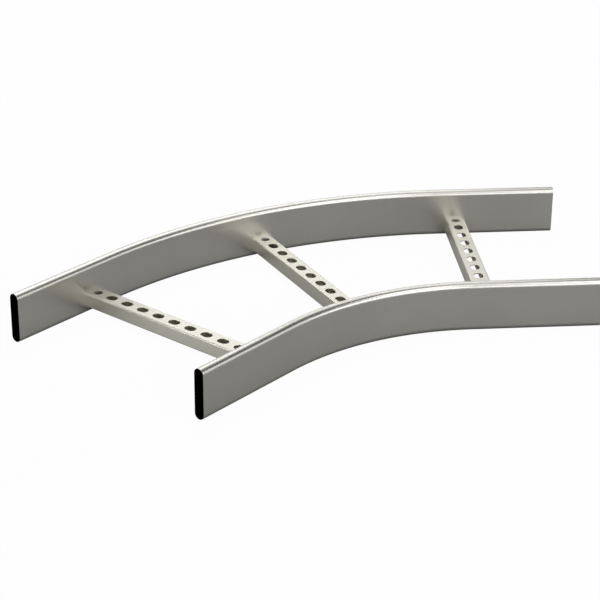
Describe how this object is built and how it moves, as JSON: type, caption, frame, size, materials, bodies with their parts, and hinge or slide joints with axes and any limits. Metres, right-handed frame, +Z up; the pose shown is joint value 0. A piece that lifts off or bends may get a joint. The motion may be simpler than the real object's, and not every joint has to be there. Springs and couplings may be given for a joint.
{
  "type": "cable ladder bend",
  "caption": "Flat cable ladder bend with bent flat-oval tube side rails, short straight legs and perforated channel rungs that carry cables round a corner.",
  "frame": {"origin": "on the floor, under the middle of the bend's bounding box", "axes": "+X across the bend from the left leg to the right leg, +Y from the inner rail to the outer rail along the mirror plane x = 0, +Z up from the floor"},
  "size_m": [0.7334, 0.3761, 0.06],
  "materials": {
    "rail_metal": "satin plain steel tube with soft reflections",
    "rung_metal": "satin plain steel sheet, a little brighter than the rails"
  },
  "bodies": {
    "root": {"outer_rail": "rail_metal", "inner_rail": "rail_metal", "left_rung": "rung_metal", "middle_rung": "rung_metal", "right_rung": "rung_metal"}
  },
  "joints": []
}
